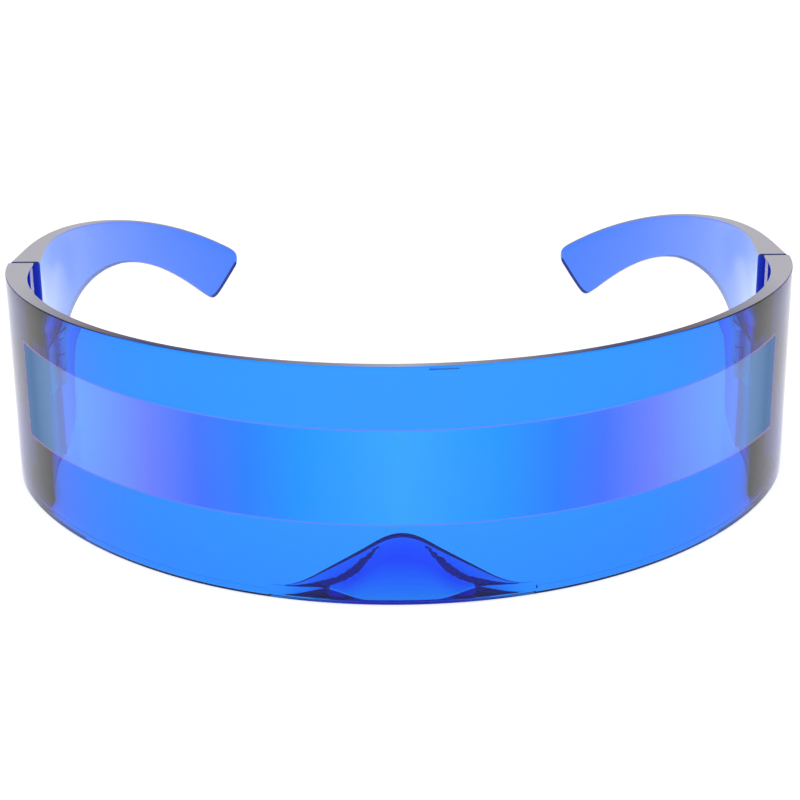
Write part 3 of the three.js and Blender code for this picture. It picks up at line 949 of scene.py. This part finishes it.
def brushed_steel(name, colour, roughness, scale):
    material, surface, output = new_material(name)
    surface.inputs["Metallic"].default_value = 1
    where = add_node(material, "ShaderNodeTexCoord")
    stretch = add_node(material, "ShaderNodeMapping")
    stretch.inputs["Scale"].default_value = (scale, scale * 0.08, scale)
    join(material, where.outputs["Object"], stretch.inputs["Vector"])
    noise = add_node(material, "ShaderNodeTexNoise", Scale=1.0, Detail=4.0)
    join(material, stretch.outputs["Vector"], noise.inputs["Vector"])
    dark = tuple(0.8 * c for c in colour)
    ramp = colour_ramp(material, [(0.35, dark), (0.65, colour)])
    join(material, noise.outputs["Fac"], ramp.inputs["Fac"])
    join(material, ramp.outputs["Color"], surface.inputs["Base Color"])
    spread_out = add_node(material, "ShaderNodeMapRange")
    spread_out.inputs["To Min"].default_value = roughness * 0.7
    spread_out.inputs["To Max"].default_value = roughness * 1.3
    join(material, noise.outputs["Fac"], spread_out.inputs["Value"])
    join(material, spread_out.outputs["Result"], surface.inputs["Roughness"])
    return material


# ---- Stage, light and camera ----

CAMERA_TILT = math.radians(17.5)
CAMERA_DISTANCE = 235
CAMERA_FOCAL_PIXELS = 1609.5
IMAGE_SIZE = 800
SENSOR = 36
PRINCIPAL_DROP = 33.5
CAMERA_ROLL = math.radians(0.608)
FLOOR_REACH = 3.0
FLOOR_DROP = 0.0001
FLOOR_GLOW = 0.76
WORLD_LIGHT = 0.5


def make_camera():
    data = bpy.data.cameras.new("camera")
    data.sensor_width = SENSOR
    data.lens = SENSOR * CAMERA_FOCAL_PIXELS / IMAGE_SIZE
    data.shift_y = -PRINCIPAL_DROP / IMAGE_SIZE
    data.clip_start, data.clip_end = 0.01, 20
    camera = bpy.data.objects.new("camera", data)
    bpy.context.scene.collection.objects.link(camera)
    target = Vector((0, FRONT_Y, HEIGHT)) * MM
    back = Vector((0, -math.cos(CAMERA_TILT), math.sin(CAMERA_TILT)))
    camera.location = target + back * CAMERA_DISTANCE * MM
    look = (-back).to_track_quat("-Z", "Y")
    camera.rotation_mode = "QUATERNION"
    camera.rotation_quaternion = look @ Matrix.Rotation(-CAMERA_ROLL, 3, "Z").to_quaternion()
    bpy.context.scene.camera = camera


def make_stage():
    mesh = bpy.data.meshes.new("floor")
    reach = FLOOR_REACH
    mesh.from_pydata(
        [(-reach, -reach, 0), (reach, -reach, 0), (reach, reach, 0), (-reach, reach, 0)],
        [], [(0, 1, 2, 3)],
    )
    floor = link("floor", mesh)
    floor.location.z = -FLOOR_DROP
    material, surface, output = new_material("pale_floor")
    surface.inputs["Base Color"].default_value = (0.8, 0.8, 0.8, 1)
    surface.inputs["Roughness"].default_value = 0.9
    surface.inputs["Specular IOR Level"].default_value = 0.1
    surface.inputs["Emission Color"].default_value = (1, 1, 1, 1)
    surface.inputs["Emission Strength"].default_value = FLOOR_GLOW
    floor.data.materials.append(material)


def make_light():
    world = bpy.data.worlds.new("studio")
    bpy.context.scene.world = world
    world.use_nodes = True
    background = world.node_tree.nodes["Background"]
    background.inputs["Color"].default_value = (1, 1, 1, 1)
    background.inputs["Strength"].default_value = WORLD_LIGHT
    bpy.context.scene.view_settings.view_transform = "Standard"


# ---- Assembly ----

make_camera()
make_stage()
make_light()

# The shield's edge tones, lilac to navy and umber, are painted light and shade along its length.
rim_plastic = raw_edge_painted_shading("rim_plastic", [
    (0.00, LILAC), (0.16, GREY_BLUE), (0.46, NAVY), (0.58, NAVY),
    (0.68, UMBER), (0.80, GREY_BLUE), (0.95, LILAC),
], 0.06, 0.35)
# The joint faces are opaque navy to royal blue: painted reflection and shade in place of the deep
# blue of clear end faces seen edge-on.
joint_plastic = raw_edge_painted_shading("joint_plastic", [(0.0, NAVY), (1.0, ROYAL)], 0.1, 0.6)

# The hinge recess walls are opaque dark navy: painted shade in the recesses.
recess_plastic = raw_edge_painted_shading("recess_plastic", [
    (0.0, (0.02, 0.03, 0.22)), (1.0, (0.03, 0.05, 0.32)),
], 0.1, 0.5)

shield = make_shield((shield_plastic(), rim_plastic, joint_plastic, recess_plastic))
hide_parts("shield")
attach(shield, "front")

arm_plastic = temple_plastic()
# The arms' edge tones, grey to lilac, are painted light and shade along their length.
arm_rim_plastic = raw_edge_painted_shading("arm_rim_plastic", [
    (0.50, (0.42, 0.41, 0.52)), (0.78, (0.55, 0.53, 0.70)), (0.95, LILAC),
], 0.06, 0.35)
for side, word in ((1, "left"), (-1, "right")):
    temple = make_temple(
        side, f"temple_arm_{word}",
        (arm_plastic, arm_rim_plastic, joint_plastic, recess_plastic),
    )
    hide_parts(f"temple_{word}")
    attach(temple, f"{word}_temple")

leaf_steel = brushed_steel("leaf_steel", (0.62, 0.64, 0.67), 0.3, 2500)
pin_steel = brushed_steel("pin_steel", (0.78, 0.79, 0.80), 0.18, 4000)
for name, node in frame["nodes"].items():
    if name.startswith("hinge"):
        node.data.materials.clear()
        node.data.materials.append(pin_steel if "screw" in name else leaf_steel)
